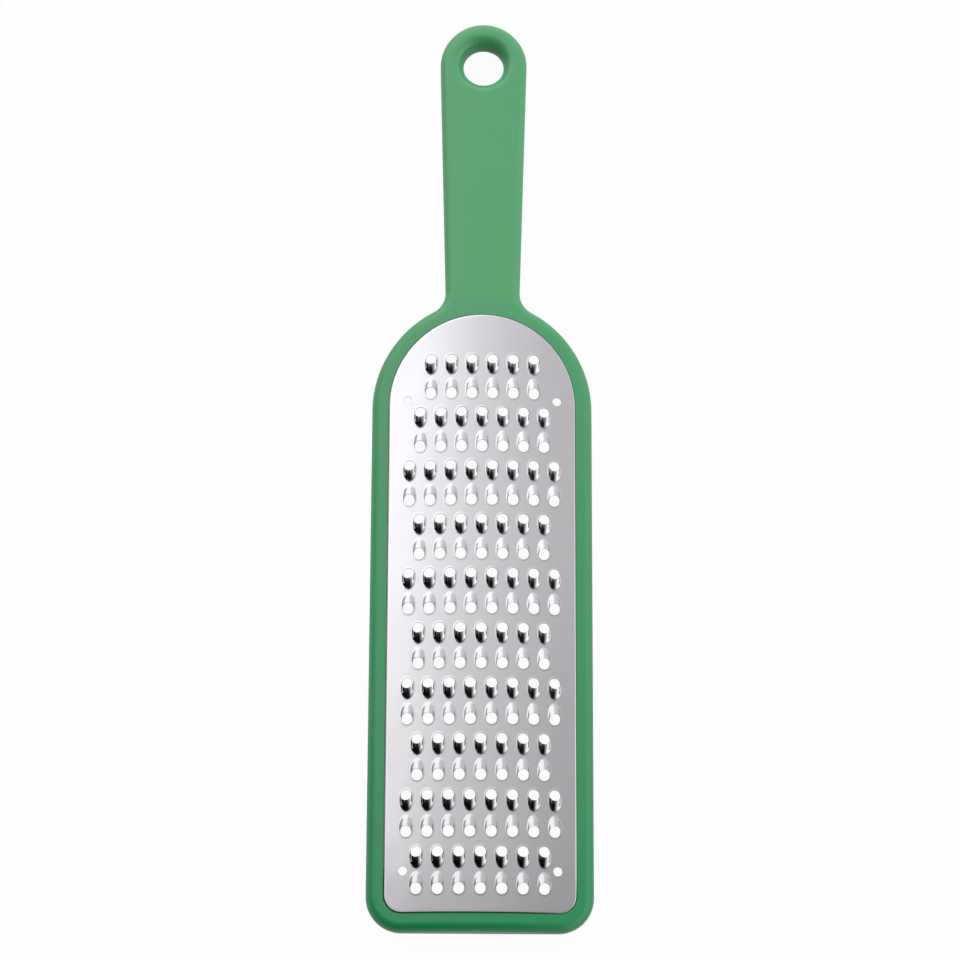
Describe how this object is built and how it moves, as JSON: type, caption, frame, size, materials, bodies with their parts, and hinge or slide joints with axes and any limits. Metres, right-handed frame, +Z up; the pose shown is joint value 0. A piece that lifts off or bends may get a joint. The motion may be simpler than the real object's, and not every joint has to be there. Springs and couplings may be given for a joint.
{
  "type": "paddle rasp zester",
  "caption": "Flat paddle rasp with an arched steel plate of two-way raised teeth, moulded into a one-piece plastic frame with a handle and a hanging hole.",
  "frame": {"origin": "centre of the bounding box at the flat underside", "axes": "+X across the plate, +Y along it towards the handle, +Z up through the plate, teeth up"},
  "size_m": [0.0694, 0.2944, 0.0123],
  "materials": {
    "frame": "satin",
    "plate": "satin"
  },
  "bodies": {
    "root": {"handle_frame": "frame", "grater_plate": "plate"}
  },
  "joints": []
}
